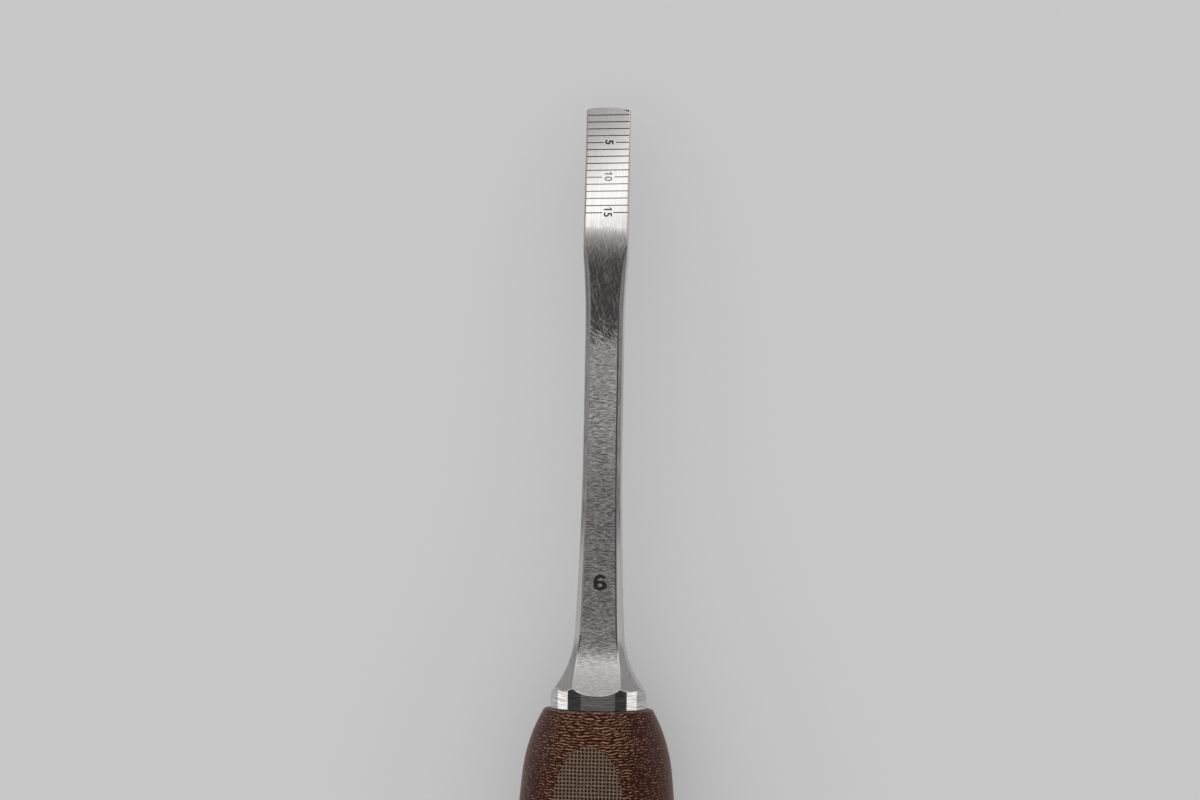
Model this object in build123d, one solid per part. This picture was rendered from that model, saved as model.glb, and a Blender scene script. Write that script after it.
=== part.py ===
from build123d import *
from math import acos, atan2, cos, degrees, hypot, radians, sin, sqrt, tan
import os

# A surgical osteotome: one steel blade with a faceted shank, a turned collar and a hidden through tang,
# a barrel handle of canvas phenolic laminate, and a steel striking cap riveted on the tang's end.
#
# The instrument lies on the flat of its handle. Its axis runs along Y with the cutting edge at +Y,
# the graduated face is up (+Z), and the origin is under the middle of its length on the surface.
# Sizes are in millimetres. A "reach" is a distance along the axis, counted from the cutting edge.

# Lengths along the axis
blade_reach = 83.7
handle_length = 105.0
cap_height = 6.3

# Working end
edge_width = 6.2
blade_width = 6.14
edge_thickness = 0.3
edge_crown = 0.1
left_bevel_width = 0.35
right_bevel_width = 0.9
bevel_reach = 0.4
wedge_reach = 17.0
edge_slope = 5.0
root_step = 0.44

# Shank
shank_width = 5.24
shank_thickness = 5.2
shank_chamfer = 0.6
scoop_reach = 21.3
scoop_end_reach = 32.0
chamfer_full_reach = 29.0
chamfer_wheel_radius = 70.0
taper_reach = 45.0
taper_rise = 0.65
corner_taper_rise = 0.75
side_flare_length = 8.2
broad_flare_length = 7.2
corner_flare_length = 7.7
corner_flare_lead = 0.5

# Collar, turned
collar_radius = 6.57
collar_height = 2.1
collar_edge_chamfer = 0.15

# Tang, and the rivet head that holds the cap
tang_radius = 3.0
tang_clearance = 0.05
rivet_head_radius = 4.2
rivet_head_height = 1.4

# Handle, turned to a barrel and then flatted front and back
handle_top_radius = 7.45
handle_top_edge = 0.35
shoulder_radius = 10.22
shoulder_reach = 8.5
swell_radius = 10.95
swell_reach = 22.0
butt_radius = 9.0
butt_edge = 0.6
flat_distance = 9.45

# Striking cap, turned
cap_inset = 0.2
cap_front_edge = 0.3
cap_strike_edge = 1.2

# The blade stands a few degrees round from the handle's flats
blade_turn = 4.2

# How far a cutting shape runs past what it cuts
overrun = 1.0

total_length = blade_reach + handle_length + cap_height
flare_end_reach = blade_reach - collar_height
cap_radius = butt_radius - cap_inset
bore_radius = tang_radius + tang_clearance
blank_reach = collar_radius + overrun


def station(reach):
    """Y of a point that lies this far from the cutting edge."""
    return total_length / 2 - reach


def mirrored_face(edges, back_y, front_y):
    """Closed face from the +X half of an outline, whose ends lie on back_y and front_y."""
    half = Wire(edges)
    ends = [half @ 0, half @ 1]
    ends.sort(key=lambda point: point.Y)
    closing = Wire([Line(ends[0], (0, back_y)), Line((0, back_y), (0, front_y)), Line((0, front_y), ends[1])])
    right = make_face(Curve() + half.edges() + closing.edges())
    return right + mirror(right, Plane.YZ)


def flared_side(half_size, rise, start_reach, flare_length, end_reach):
    """From the straight shank to past the collar: a slow taper and then a tangent flare.

    The flare is the arc that leaves the taper smoothly and meets the collar at end_reach.
    """
    flare_reach = end_reach - flare_length
    straight = Line((half_size, station(start_reach)), (half_size, station(taper_reach)))
    taper_end = (half_size + rise, station(flare_reach))
    taper = TangentArc((straight @ 1), taper_end, tangent=(0, -1))
    heading = taper % 1
    lean = atan2(heading.X, -heading.Y)
    across = collar_radius - half_size - rise
    chord_lean = atan2(across, flare_length)
    flare_radius = hypot(across, flare_length) / (2 * sin(chord_lean - lean))
    end_lean = acos(cos(lean) - (across + overrun) / flare_radius)
    flare = JernArc(start=taper @ 1, tangent=heading, radius=flare_radius, arc_size=degrees(end_lean - lean))
    step = Line(flare @ 1, (blank_reach + overrun, (flare @ 1).Y))
    back = Line(step @ 1, (blank_reach + overrun, station(total_length) - overrun))
    return [straight, taper, flare, step, back]


def side_faces():
    """Outline seen from the front: edge with its bevelled corners, blade, side scoops and flared neck."""
    half_shank = shank_width / 2
    half_edge = edge_width / 2
    half_blade = blade_width / 2
    back_y = station(total_length) - overrun
    bevel_top = station(edge_crown)
    bevel_foot = station(edge_crown + bevel_reach)
    shank_side = flared_side(half_shank, taper_rise, scoop_end_reach, side_flare_length, flare_end_reach)
    scoop = TangentArc(
        (half_shank, station(scoop_end_reach)), (half_blade, station(scoop_reach)), tangent=(0, 1)
    )
    blade_side = Line((half_blade, station(scoop_reach)), (half_edge, bevel_foot))
    body = mirrored_face([blade_side, scoop] + shank_side, back_y, bevel_foot)
    left_x = left_bevel_width - half_edge
    right_x = half_edge - right_bevel_width
    tip = make_face(
        Curve()
        + ThreePointArc((left_x, bevel_top), ((left_x + right_x) / 2, station(0)), (right_x, bevel_top))
        + Line((right_x, bevel_top), (half_edge, bevel_foot))
        + Line((half_edge, bevel_foot), (-half_edge, bevel_foot))
        + Line((-half_edge, bevel_foot), (left_x, bevel_top))
    )
    return body + tip


def broad_faces():
    """Outline seen from the side: hollow wedge, tangent blend into the shank and flared neck."""
    half_shank = shank_thickness / 2
    front_y = station(0) + overrun
    back_y = station(total_length) - overrun
    slope = radians(edge_slope)
    edge_point = Vector(edge_thickness / 2, station(0))
    ahead = edge_point + Vector(-sin(slope), cos(slope)) * (overrun / cos(slope))
    lead = Line(ahead, edge_point)
    root = (half_shank - root_step, station(wedge_reach))
    wedge = TangentArc(edge_point, root, tangent=(sin(slope), -cos(slope)))
    leaving = wedge % 1
    root_angle = atan2(leaving.X, -leaving.Y)
    blend_reach = wedge_reach + root_step / tan(root_angle / 2)
    blend = TangentArc((wedge @ 1), (half_shank, station(blend_reach)), tangent=leaving)
    shank_side = flared_side(half_shank, taper_rise, blend_reach, broad_flare_length, flare_end_reach)
    return mirrored_face([lead, wedge, blend] + shank_side, back_y, front_y)


def corner_faces():
    """Outline across two opposite corners: the chamfers run out towards the blade on a wheel's arc.

    Towards the handle they meet the collar a little before the other facets do.
    """
    offset = (shank_width / 2 + shank_thickness / 2 - shank_chamfer) / sqrt(2)
    front_y = station(0)
    back_y = station(total_length) - overrun
    runout_rise = chamfer_wheel_radius - sqrt(chamfer_wheel_radius**2 - chamfer_full_reach**2)
    runout = TangentArc(
        (offset, station(chamfer_full_reach)), (offset + runout_rise, front_y), tangent=(0, 1)
    )
    ahead = Line(runout @ 1, (offset + runout_rise, front_y + overrun))
    corner_end = flare_end_reach - corner_flare_lead
    corner_side = flared_side(offset, corner_taper_rise, chamfer_full_reach, corner_flare_length, corner_end)
    return mirrored_face([ahead, runout] + corner_side, back_y, front_y + overrun)


def facet_pair(outline, turn):
    """Solid between two opposite facets, made from their outline and turned round the axis."""
    wide = 2 * (blank_reach + overrun)
    return Rot(0, turn, 0) * extrude(outline, amount=wide, both=True)


def turned(points):
    """Solid of revolution round the axis from (radius, reach) corners."""
    corners = [(radius, station(reach)) for radius, reach in points]
    profile = make_face(Polyline(*corners, close=True))
    return revolve(profile, Axis.Y, 360)


def rivet_profile(clearance):
    """Corners of the tang's end, straight and then countersunk, grown by a clearance."""
    neck_reach = total_length - rivet_head_height
    return [
        (tang_radius + clearance, neck_reach),
        (rivet_head_radius + clearance, total_length),
    ]


def make_blade():
    """Turned blank ground to eight facets, which end on the collar in shallow scallops."""
    blank = turned(
        [
            (0, 0),
            (collar_radius, 0),
            (collar_radius, blade_reach - collar_edge_chamfer),
            (collar_radius - collar_edge_chamfer, blade_reach),
            (tang_radius, blade_reach),
        ]
        + rivet_profile(0)
        + [(0, total_length)]
    )
    ground = blank & facet_pair(side_faces(), 0)
    ground = ground & facet_pair(broad_faces(), 90)
    ground = ground & facet_pair(corner_faces(), 45)
    ground = ground & facet_pair(corner_faces(), -45)
    return Rot(0, blade_turn, 0) * ground


def barrel_blank():
    """Turned barrel: an ogive shoulder, the widest point, and a long easy fall to the butt."""
    top_y = station(blade_reach)
    butt_y = station(blade_reach + handle_length)
    swell = (swell_radius, station(blade_reach + swell_reach))
    shoulder = (shoulder_radius, station(blade_reach + shoulder_reach))
    upper = TangentArc(swell, shoulder, tangent=(0, 1))
    ogive = TangentArc((upper @ 1), (handle_top_radius, top_y), tangent=(upper % 1))
    lower = TangentArc(swell, (butt_radius, butt_y), tangent=(0, -1))
    profile = make_face(
        Curve()
        + lower
        + upper
        + ogive
        + Line((handle_top_radius, top_y), (0, top_y))
        + Line((0, top_y), (0, butt_y))
        + Line((0, butt_y), (butt_radius, butt_y))
    )
    barrel = revolve(profile, Axis.Y, 360)
    rims = barrel.edges().filter_by(GeomType.CIRCLE).sort_by(Axis.Y)
    barrel = fillet(rims[-1], handle_top_edge)
    rims = barrel.edges().filter_by(GeomType.CIRCLE).sort_by(Axis.Y)
    return fillet(rims[0], butt_edge)


def make_handle():
    """Barrel with a flat milled front and back, drilled through for the tang."""
    slab = Box(4 * swell_radius, 2 * total_length, 2 * flat_distance)
    bore = turned(
        [
            (0, blade_reach - overrun),
            (bore_radius, blade_reach - overrun),
            (bore_radius, total_length),
            (0, total_length),
        ]
    )
    return (barrel_blank() & slab) - bore


def make_striking_cap():
    """Turned disc seated on the butt, countersunk for the riveted end of the tang."""
    seat_reach = blade_reach + handle_length
    disc = turned([(0, seat_reach), (cap_radius, seat_reach), (cap_radius, total_length), (0, total_length)])
    rims = disc.edges().filter_by(GeomType.CIRCLE).sort_by(Axis.Y)
    disc = fillet(rims[0], cap_strike_edge)
    rims = disc.edges().filter_by(GeomType.CIRCLE).sort_by(Axis.Y)
    disc = chamfer(rims[-1], cap_front_edge)
    seat = turned(
        [(0, seat_reach), (bore_radius, seat_reach)] + rivet_profile(tang_clearance) + [(0, total_length)]
    )
    return disc - seat


def rest_on_flat(solid):
    """Lift a solid from the axis to where it lies when the handle rests on its back flat."""
    return Pos(0, 0, flat_distance) * solid


parts = {
    "blade": rest_on_flat(make_blade()),
    "handle": rest_on_flat(make_handle()),
    "striking_cap": rest_on_flat(make_striking_cap()),
}

os.makedirs("parts", exist_ok=True)
for name, solid in parts.items():
    export_step(solid, f"parts/{name}.step")
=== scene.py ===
"""Studio scene of a surgical osteotome that lies on the back flat of its handle.

The axis runs along Y with the cutting edge at +Y, and the graduated face is up (+Z). Shapes are worked
out in millimetres from the same sizes as the CAD source and are put into the meshes in metres. A
"reach" is a distance along the axis, counted from the cutting edge.
"""

import logging
import math
from dataclasses import dataclass
from enum import Enum, IntEnum

import bmesh
import bpy
import numpy as np
from mathutils import Matrix

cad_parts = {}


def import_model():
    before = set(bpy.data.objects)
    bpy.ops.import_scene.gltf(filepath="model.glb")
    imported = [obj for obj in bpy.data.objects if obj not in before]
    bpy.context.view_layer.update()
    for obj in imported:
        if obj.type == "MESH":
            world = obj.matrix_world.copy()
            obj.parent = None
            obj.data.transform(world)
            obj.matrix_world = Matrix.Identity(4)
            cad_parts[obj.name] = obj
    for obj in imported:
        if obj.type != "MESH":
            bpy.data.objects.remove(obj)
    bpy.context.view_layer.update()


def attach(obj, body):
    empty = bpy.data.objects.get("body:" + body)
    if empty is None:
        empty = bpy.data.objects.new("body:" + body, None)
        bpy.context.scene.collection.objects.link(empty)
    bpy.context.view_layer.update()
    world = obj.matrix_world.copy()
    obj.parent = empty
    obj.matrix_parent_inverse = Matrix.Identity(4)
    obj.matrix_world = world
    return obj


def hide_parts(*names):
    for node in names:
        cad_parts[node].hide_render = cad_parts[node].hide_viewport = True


LOG = logging.getLogger("osteotome")

METRES_PER_MM = 0.001

# Sizes that several pieces share, in millimetres
TOTAL_LENGTH = 195.0
FLAT_DISTANCE = 9.45
BLADE_REACH = 83.7
HANDLE_LENGTH = 105.0

# The blade stands a few degrees round from the handle's flats
BLADE_TURN = math.radians(4.2)

# Points across a facet of the blade, and round each edge between two facets
FACE_STEPS = 5
EDGE_STEPS = 8

# Distance of a facet from the axis where it has left the turned blank
CLEAR_OF_BLANK = 99.0


class Facet(Enum):
    """The kinds of facet round the ground shank."""

    SIDE = "side"
    CORNER = "corner"
    BROAD = "broad"


class Brushing(Enum):
    """Which way a wheel ran over a facet."""

    CROSS = "across the blade"
    LENGTHWISE = "along the blade"


class BladeFinish(IntEnum):
    """Numbers of the blade's finishes, as its faces hold them."""

    BRUSHED = 0
    CORNER = 1
    BRIGHT_EDGE = 2
    TANG = 3
    # Rougher edge whose colour is painted darker as painted shade
    DULL_EDGE = 4


# Helpers for shapes


def easing(distance: np.ndarray, length: float, rise: float) -> np.ndarray:
    """Rise of a circular arc that leaves a straight line smoothly.

    The arc's radius is (length squared + rise squared) / (2 rise), and its rise at a distance d is the
    radius less the root of (radius squared - d squared).

    Args:
        distance: Distance along the line from where the arc starts, clipped to 0..length.
        length: Distance at which the arc ends.
        rise: How far the arc has risen there.

    Returns:
        The rise at each distance.
    """
    radius = (length**2 + rise**2) / (2.0 * rise)
    along = np.clip(distance, 0.0, length)
    return radius - np.sqrt(radius**2 - along**2)


def chained(*runs: np.ndarray) -> np.ndarray:
    """Join runs of values into one array.

    Args:
        *runs: Arrays of values, each starting where the one before ends.

    Returns:
        All values, without those that repeat the one before.
    """
    values = np.concatenate(runs)
    keep = np.append(True, np.abs(np.diff(values)) > 1e-6)
    return values[keep]


def rounded_profile(corners: list, radii: list, steps: int = 8) -> np.ndarray:
    """Polyline through (radius, reach) corners with some corners rounded.

    A corner of turn w and rounding r is cut back by r tan(w / 2) on both sides, and the gap is filled by
    the quadratic curve (1 - s)^2 A + 2 s (1 - s) C + s^2 B through the cut points A and B.

    Args:
        corners: Points (radius, reach) in order.
        radii: Rounding of each corner, 0 for a sharp one.
        steps: Points along each rounding.

    Returns:
        Array of (radius, reach) rows.
    """
    points = np.asarray(corners, dtype=float)
    run = []
    for index, radius in enumerate(radii):
        corner = points[index]
        if radius <= 0.0:
            run.append(corner[None, :])
            continue
        before = points[index - 1] - corner
        after = points[(index + 1) % len(points)] - corner
        before = before / np.linalg.norm(before)
        after = after / np.linalg.norm(after)
        turn = math.pi - math.acos(float(np.clip(before @ after, -1.0, 1.0)))
        cut = radius * math.tan(turn / 2.0)
        s = np.linspace(0.0, 1.0, steps)[:, None]
        start = corner + before * cut
        end = corner + after * cut
        run.append((1 - s) ** 2 * start + 2 * s * (1 - s) * corner + s**2 * end)
    return np.concatenate(run)


def grid_faces(rows: int, columns: int, closed_rows: bool = False) -> np.ndarray:
    """Quads of a grid whose columns close round, wound so that they face outwards.

    Args:
        rows: Number of rings.
        columns: Points in each ring.
        closed_rows: Whether the last ring joins the first one.

    Returns:
        Array of four indices for each quad.
    """
    row = np.arange(rows if closed_rows else rows - 1)[:, None]
    column = np.arange(columns)[None, :]
    following = (row + 1) % rows
    right = (column + 1) % columns
    quads = np.stack(
        [
            row * columns + column,
            row * columns + right,
            following * columns + right,
            following * columns + column,
        ],
        axis=-1,
    )
    return quads.reshape(-1, 4)


def mesh_piece(
    name: str,
    points: np.ndarray,
    faces: np.ndarray,
    smooth: bool = True,
    finishes: np.ndarray | None = None,
) -> bpy.types.Object:
    """Make an object from points in millimetres, merge its doubles and close its poles.

    Args:
        name: Name of the piece.
        points: Array of (x, y, z) rows in millimetres.
        faces: Array of quads.
        smooth: Whether it is shaded smooth.
        finishes: Number of each face's finish, or nothing where there is only one.

    Returns:
        The new object, linked to the scene, with its origin at the frame's origin.
    """
    mesh = bpy.data.meshes.new(name)
    mesh.from_pydata((points * METRES_PER_MM).tolist(), [], faces.tolist())
    if finishes is not None:
        mesh.polygons.foreach_set("material_index", finishes)
    mesh.validate()
    piece = bpy.data.objects.new(name, mesh)
    bpy.context.scene.collection.objects.link(piece)
    work = bmesh.new()
    work.from_mesh(mesh)
    bmesh.ops.remove_doubles(work, verts=work.verts, dist=1e-7)
    bmesh.ops.dissolve_degenerate(work, dist=1e-8, edges=work.edges)
    bmesh.ops.recalc_face_normals(work, faces=work.faces)
    work.to_mesh(mesh)
    work.free()
    if smooth:
        mesh.shade_smooth()
    else:
        mesh.shade_flat()
    return piece


def turned_and_lifted(points: np.ndarray) -> np.ndarray:
    """Turn the blade's points round the axis, +Z towards +X, and lift the axis to its height.

    Args:
        points: Array of (x, y, z) rows in millimetres round the axis.

    Returns:
        The same points where the instrument lies.
    """
    x = points[:, 0] * math.cos(BLADE_TURN) + points[:, 2] * math.sin(BLADE_TURN)
    z = -points[:, 0] * math.sin(BLADE_TURN) + points[:, 2] * math.cos(BLADE_TURN)
    return np.stack([x, points[:, 1], z + FLAT_DISTANCE], axis=-1)


@dataclass
class FacetedBlank:
    """A turned blank that is ground to facets. Lengths are millimetres.

    Attributes:
        angles: Direction of each facet's normal in degrees, counted from +X towards +Z.
        offsets: Distance of each facet from the axis, an array with one value for each ring.
        radius: Radius of the turned blank at each ring.
        edge: Length by which each corner is cut back before it is rounded.
        face_steps: Points across each facet, besides those that hold its edges.
        arc_steps: Points inside each corner.
        hold: Distance from a facet's end at which an extra point keeps the edge's shading narrow.
    """

    angles: list
    offsets: list
    radius: np.ndarray
    edge: float
    face_steps: int
    arc_steps: int
    hold: float = 0.045

    def normal(self, k: int) -> np.ndarray:
        """Direction in which facet k faces."""
        return np.array([math.cos(math.radians(self.angles[k])), math.sin(math.radians(self.angles[k]))])

    def along(self, k: int) -> np.ndarray:
        """Direction along facet k, towards the next one."""
        return np.array([-self.normal(k)[1], self.normal(k)[0]])

    def turn(self, first: int, second: int, step: int) -> float:
        """Angle between the normals of two neighbours, counted in the direction of the step."""
        return math.radians((step * (self.angles[second] - self.angles[first])) % 360.0)

    def ends(self, k: int) -> list:
        """How far facet k runs to both sides of the foot of its normal.

        With a distance d from the axis it runs to the corner with its neighbour, at
        (d_next - d cos w) / sin w for an angle w between their normals, or to the circle of the blank, at
        the root of (R squared - d squared), whichever comes first.

        Args:
            k: Number of the facet.

        Returns:
            Two arrays, towards the facet before and towards the next one, cut back for the rounding.
        """
        d = self.offsets[k]
        to_circle = np.sqrt(np.clip(self.radius**2 - d**2, 0.0, None))
        reaches = []
        for step in (-1, 1):
            other = (k + step) % len(self.angles)
            turn = self.turn(k, other, step)
            if abs(math.sin(turn)) < 1e-6 or turn > math.pi - 1e-6:
                reaches.append(to_circle)
                continue
            corner = (self.offsets[other] - d * math.cos(turn)) / math.sin(turn)
            reaches.append(np.minimum(corner, to_circle))
        cut = np.minimum(self.edge, 0.3 * (reaches[0] + reaches[1]))
        return [np.where(reach < to_circle, reach - cut, reach) for reach in reaches]

    def face(self, k: int, ends: list) -> np.ndarray:
        """Points across facet k, with one close to each end that keeps the shading of its edges narrow.

        Args:
            k: Number of the facet.
            ends: Its two ends.

        Returns:
            Array (rings, points, 2).
        """
        d = np.minimum(self.offsets[k], self.radius)[:, None]
        low = -ends[0][:, None]
        high = ends[1][:, None]
        span = high - low
        near = np.minimum(self.hold, 0.2 * span)
        inner = np.linspace(0.0, 1.0, self.face_steps)[None, :]
        across = np.concatenate([low, (low + near) + (span - 2 * near) * inner, high], axis=1)
        return d[:, :, None] * self.normal(k) + across[:, :, None] * self.along(k)

    def edge_round(self, k: int, start: np.ndarray, end: np.ndarray) -> np.ndarray:
        """Points between facet k and the next one.

        Where the corner lies outside the blank they follow the circle, and elsewhere the quadratic curve
        (1 - s)^2 A + 2 s (1 - s) C + s^2 B round the corner C.

        Args:
            k: Number of the facet.
            start: Last point of the facet in each ring.
            end: First point of the next facet in each ring.

        Returns:
            Array (rings, points, 2).
        """
        following = (k + 1) % len(self.angles)
        first = np.arctan2(start[:, 1], start[:, 0])
        last = np.arctan2(end[:, 1], end[:, 0])
        sweep = (last - first) % (2.0 * math.pi)
        s = np.linspace(0.0, 1.0, self.arc_steps + 2)[1:-1][None, :]
        turned = first[:, None] + sweep[:, None] * s
        r_start = np.hypot(start[:, 0], start[:, 1])[:, None]
        r_end = np.hypot(end[:, 0], end[:, 1])[:, None]
        r = r_start + (r_end - r_start) * s
        arc = np.stack([r * np.cos(turned), r * np.sin(turned)], axis=-1)
        turn = self.turn(k, following, 1)
        if abs(math.sin(turn)) < 1e-6 or turn > math.pi - 1e-6:
            return arc
        corner_at = (self.offsets[following] - self.offsets[k] * math.cos(turn)) / math.sin(turn)
        corner = self.offsets[k][:, None] * self.normal(k) + corner_at[:, None] * self.along(k)
        on_circle = np.hypot(corner[:, 0], corner[:, 1]) > self.radius
        s3 = s[:, :, None]
        bend = (1 - s3) ** 2 * start[:, None, :] + 2 * s3 * (1 - s3) * corner[:, None, :]
        bend = bend + s3**2 * end[:, None, :]
        return np.where(on_circle[:, None, None], arc, bend)

    def sections(self) -> np.ndarray:
        """Sections across the axis: the points of each facet and then those of the edge after it.

        Returns:
            Array (rings, points, 2).
        """
        count = len(self.angles)
        ends = [self.ends(k) for k in range(count)]
        faces = [self.face(k, ends[k]) for k in range(count)]
        columns = []
        for k in range(count):
            following = (k + 1) % count
            columns.append(faces[k])
            columns.append(self.edge_round(k, faces[k][:, -1, :], faces[following][:, 0, :]))
        return np.concatenate(columns, axis=1)


# Helpers for materials

# A node's socket, and what can be fed into one: a socket, a number or a colour
Socket = bpy.types.NodeSocket
Colour = tuple[float, float, float, float]
Feed = Socket | float | Colour


def scaled_colour(colour: Colour, factor: float, most: float = 1.0) -> Colour:
    """Colour times a factor, with no channel above the given most."""
    return tuple(min(value * factor, most) for value in colour[:3]) + (1.0,)


class NodeBench:
    """Short ways to add nodes to one node tree."""

    def __init__(self, tree: bpy.types.NodeTree) -> None:
        """Work in the given node tree."""
        self.tree = tree

    def node(self, kind: str, **values: object) -> bpy.types.Node:
        """Add a node and set its plain properties.

        Args:
            kind: The kind of node.
            **values: Its properties by name.

        Returns:
            The new node.
        """
        made = self.tree.nodes.new(kind)
        for key, value in values.items():
            setattr(made, key, value)
        return made

    def link(self, source: Socket, target: Socket) -> None:
        """Link one socket to another."""
        self.tree.links.new(source, target)

    def put(self, value: Feed, target: Socket) -> None:
        """Feed an input.

        Args:
            value: A socket to link, or a plain number or colour to set.
            target: The input.
        """
        if isinstance(value, bpy.types.NodeSocket):
            self.link(value, target)
        else:
            target.default_value = value

    def math(self, operation: str, *values: Feed) -> Socket:
        """Work out one operation.

        Args:
            operation: Name of the operation.
            *values: What goes into it.

        Returns:
            Its result.
        """
        made = self.node("ShaderNodeMath", operation=operation)
        for socket, value in zip(made.inputs, values):
            self.put(value, socket)
        return made.outputs[0]

    def plus(self, first: Feed, second: Feed) -> Socket:
        """Sum of two values."""
        return self.math("ADD", first, second)

    def minus(self, first: Feed, second: Feed) -> Socket:
        """First value less the second."""
        return self.math("SUBTRACT", first, second)

    def times(self, first: Feed, second: Feed) -> Socket:
        """Product of two values."""
        return self.math("MULTIPLY", first, second)

    def times_plus(self, first: Feed, second: Feed, third: Feed) -> Socket:
        """Product of two values plus a third."""
        return self.math("MULTIPLY_ADD", first, second, third)

    def distance(self, first: Feed, second: Feed) -> Socket:
        """Root of the sum of two squares."""
        return self.math("SQRT", self.plus(self.math("POWER", first, 2.0), self.math("POWER", second, 2.0)))

    def ranged(self, value: Feed, low: float, high: float, out_low: float, out_high: float) -> Socket:
        """Map a value smoothly from one range to another.

        Args:
            value: The value.
            low: Where the first range starts.
            high: Where it ends.
            out_low: Result at and before its start.
            out_high: Result at and after its end.

        Returns:
            The result.
        """
        made = self.node("ShaderNodeMapRange", interpolation_type="SMOOTHSTEP")
        self.put(value, made.inputs["Value"])
        for name, number in zip(("From Min", "From Max", "To Min", "To Max"), (low, high, out_low, out_high)):
            made.inputs[name].default_value = number
        return made.outputs["Result"]

    def xyz(self, vector: Socket) -> tuple[Socket, Socket, Socket]:
        """Split a vector.

        Args:
            vector: The vector.

        Returns:
            Its X, Y and Z.
        """
        made = self.node("ShaderNodeSeparateXYZ")
        self.link(vector, made.inputs[0])
        return made.outputs["X"], made.outputs["Y"], made.outputs["Z"]


class MaterialBench(NodeBench):
    """One material under way, with a principled shader and its patterns on Object coordinates."""

    def __init__(self, name: str) -> None:
        """Start a material.

        Args:
            name: Name of the finish.
        """
        self.material = bpy.data.materials.new(name)
        self.material.use_nodes = True
        super().__init__(self.material.node_tree)
        self.shader = self.tree.nodes["Principled BSDF"]

    def feed(self, name: str, value: Feed) -> None:
        """Link or set one of the shader's own inputs."""
        self.put(value, self.shader.inputs[name])

    def show(self, surface: Socket) -> None:
        """Use another shader as the material's surface."""
        self.link(surface, self.tree.nodes["Material Output"].inputs["Surface"])

    def coordinates(self) -> Socket:
        """Object coordinates, in metres in the object's frame."""
        return self.node("ShaderNodeTexCoord").outputs["Object"]

    def stretched(self, scale: tuple[float, float, float]) -> Socket:
        """Object coordinates scaled along each axis.

        Args:
            scale: Factor for X, Y and Z.

        Returns:
            The scaled vector.
        """
        mapping = self.node("ShaderNodeMapping")
        mapping.inputs["Scale"].default_value = scale
        self.link(self.coordinates(), mapping.inputs["Vector"])
        return mapping.outputs["Vector"]

    def millimetres(self) -> tuple[Socket, Socket, Socket]:
        """Place of a point in millimetres: its X, its Y and its height above the axis."""
        x, y, z = self.xyz(self.stretched((1.0 / METRES_PER_MM,) * 3))
        return x, y, self.minus(z, FLAT_DISTANCE)

    def noise(self, vector: Socket, scale: float, detail: float, rough: float) -> Socket:
        """Noise of a vector.

        Args:
            vector: Where the noise is read.
            scale: Lumps per unit of the vector.
            detail: How many finer layers it has.
            rough: How strong each finer layer is.

        Returns:
            Values round 0.5.
        """
        made = self.node("ShaderNodeTexNoise")
        self.link(vector, made.inputs["Vector"])
        made.inputs["Scale"].default_value = scale
        made.inputs["Detail"].default_value = detail
        made.inputs["Roughness"].default_value = rough
        return made.outputs["Fac"]

    def streaks(self, length: float, width: float, turn: float = 0.0) -> Socket:
        """Noise drawn out along one direction of the XY plane.

        Args:
            length: Length of a streak in millimetres.
            width: Width of a streak in millimetres.
            turn: Angle of the streaks from +X towards +Y in radians.

        Returns:
            Values round 0.5.
        """
        mapping = self.node("ShaderNodeMapping", vector_type="TEXTURE")
        mapping.inputs["Rotation"].default_value = (0.0, 0.0, turn)
        along = length * METRES_PER_MM
        mapping.inputs["Scale"].default_value = (along, width * METRES_PER_MM, along)
        self.link(self.coordinates(), mapping.inputs["Vector"])
        return self.noise(mapping.outputs["Vector"], 1.0, 2.0, 0.55)

    def mixed(self, share: Feed, first: Feed, second: Feed) -> Socket:
        """Blend two colours.

        Args:
            share: Share of the second one.
            first: The colour at share 0.
            second: The colour at share 1.

        Returns:
            The blend.
        """
        made = self.node("ShaderNodeMix", data_type="RGBA")
        self.put(share, made.inputs[0])
        self.put(first, made.inputs[6])
        self.put(second, made.inputs[7])
        return made.outputs[2]

    def blended(self, share: Feed, first: Feed, second: Feed) -> Socket:
        """Blend two numbers.

        Args:
            share: Share of the second one.
            first: The number at share 0.
            second: The number at share 1.

        Returns:
            The blend.
        """
        made = self.node("ShaderNodeMix", data_type="FLOAT")
        self.put(share, made.inputs[0])
        self.put(first, made.inputs[2])
        self.put(second, made.inputs[3])
        return made.outputs[0]

    def bump(self, height: Socket, strength: float, depth: float, normal: Socket | None = None) -> Socket:
        """Bump of a height field.

        Args:
            height: The height field.
            strength: How strongly it tilts the surface.
            depth: Height of its full range in metres.
            normal: Another bump that it rides on, or nothing.

        Returns:
            The tilted normal.
        """
        made = self.node("ShaderNodeBump")
        made.inputs["Strength"].default_value = strength
        made.inputs["Distance"].default_value = depth
        self.link(height, made.inputs["Height"])
        if normal is not None:
            self.link(normal, made.inputs["Normal"])
        return made.outputs["Normal"]


# Finishes


@dataclass(frozen=True)
class WheelMarks:
    """Streaked noises that stand for the marks of each wheel, with values round 0.5."""

    grain: Socket
    steep: Socket
    slanted: Socket
    crossing: Socket
    crossed: Socket


@dataclass(frozen=True)
class BladeZones:
    """Where on the blade a point lies.

    Across and reach are millimetres. The others are shares that say how far the point belongs to the
    finely ground wedge, the polished root, the brushed shank, the shank's upper half, its freshly torn
    start and the turned collar.
    """

    across: Socket
    reach: Socket
    wedge: Socket
    root: Socket
    shank: Socket
    upper: Socket
    fresh: Socket
    collar: Socket


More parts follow.
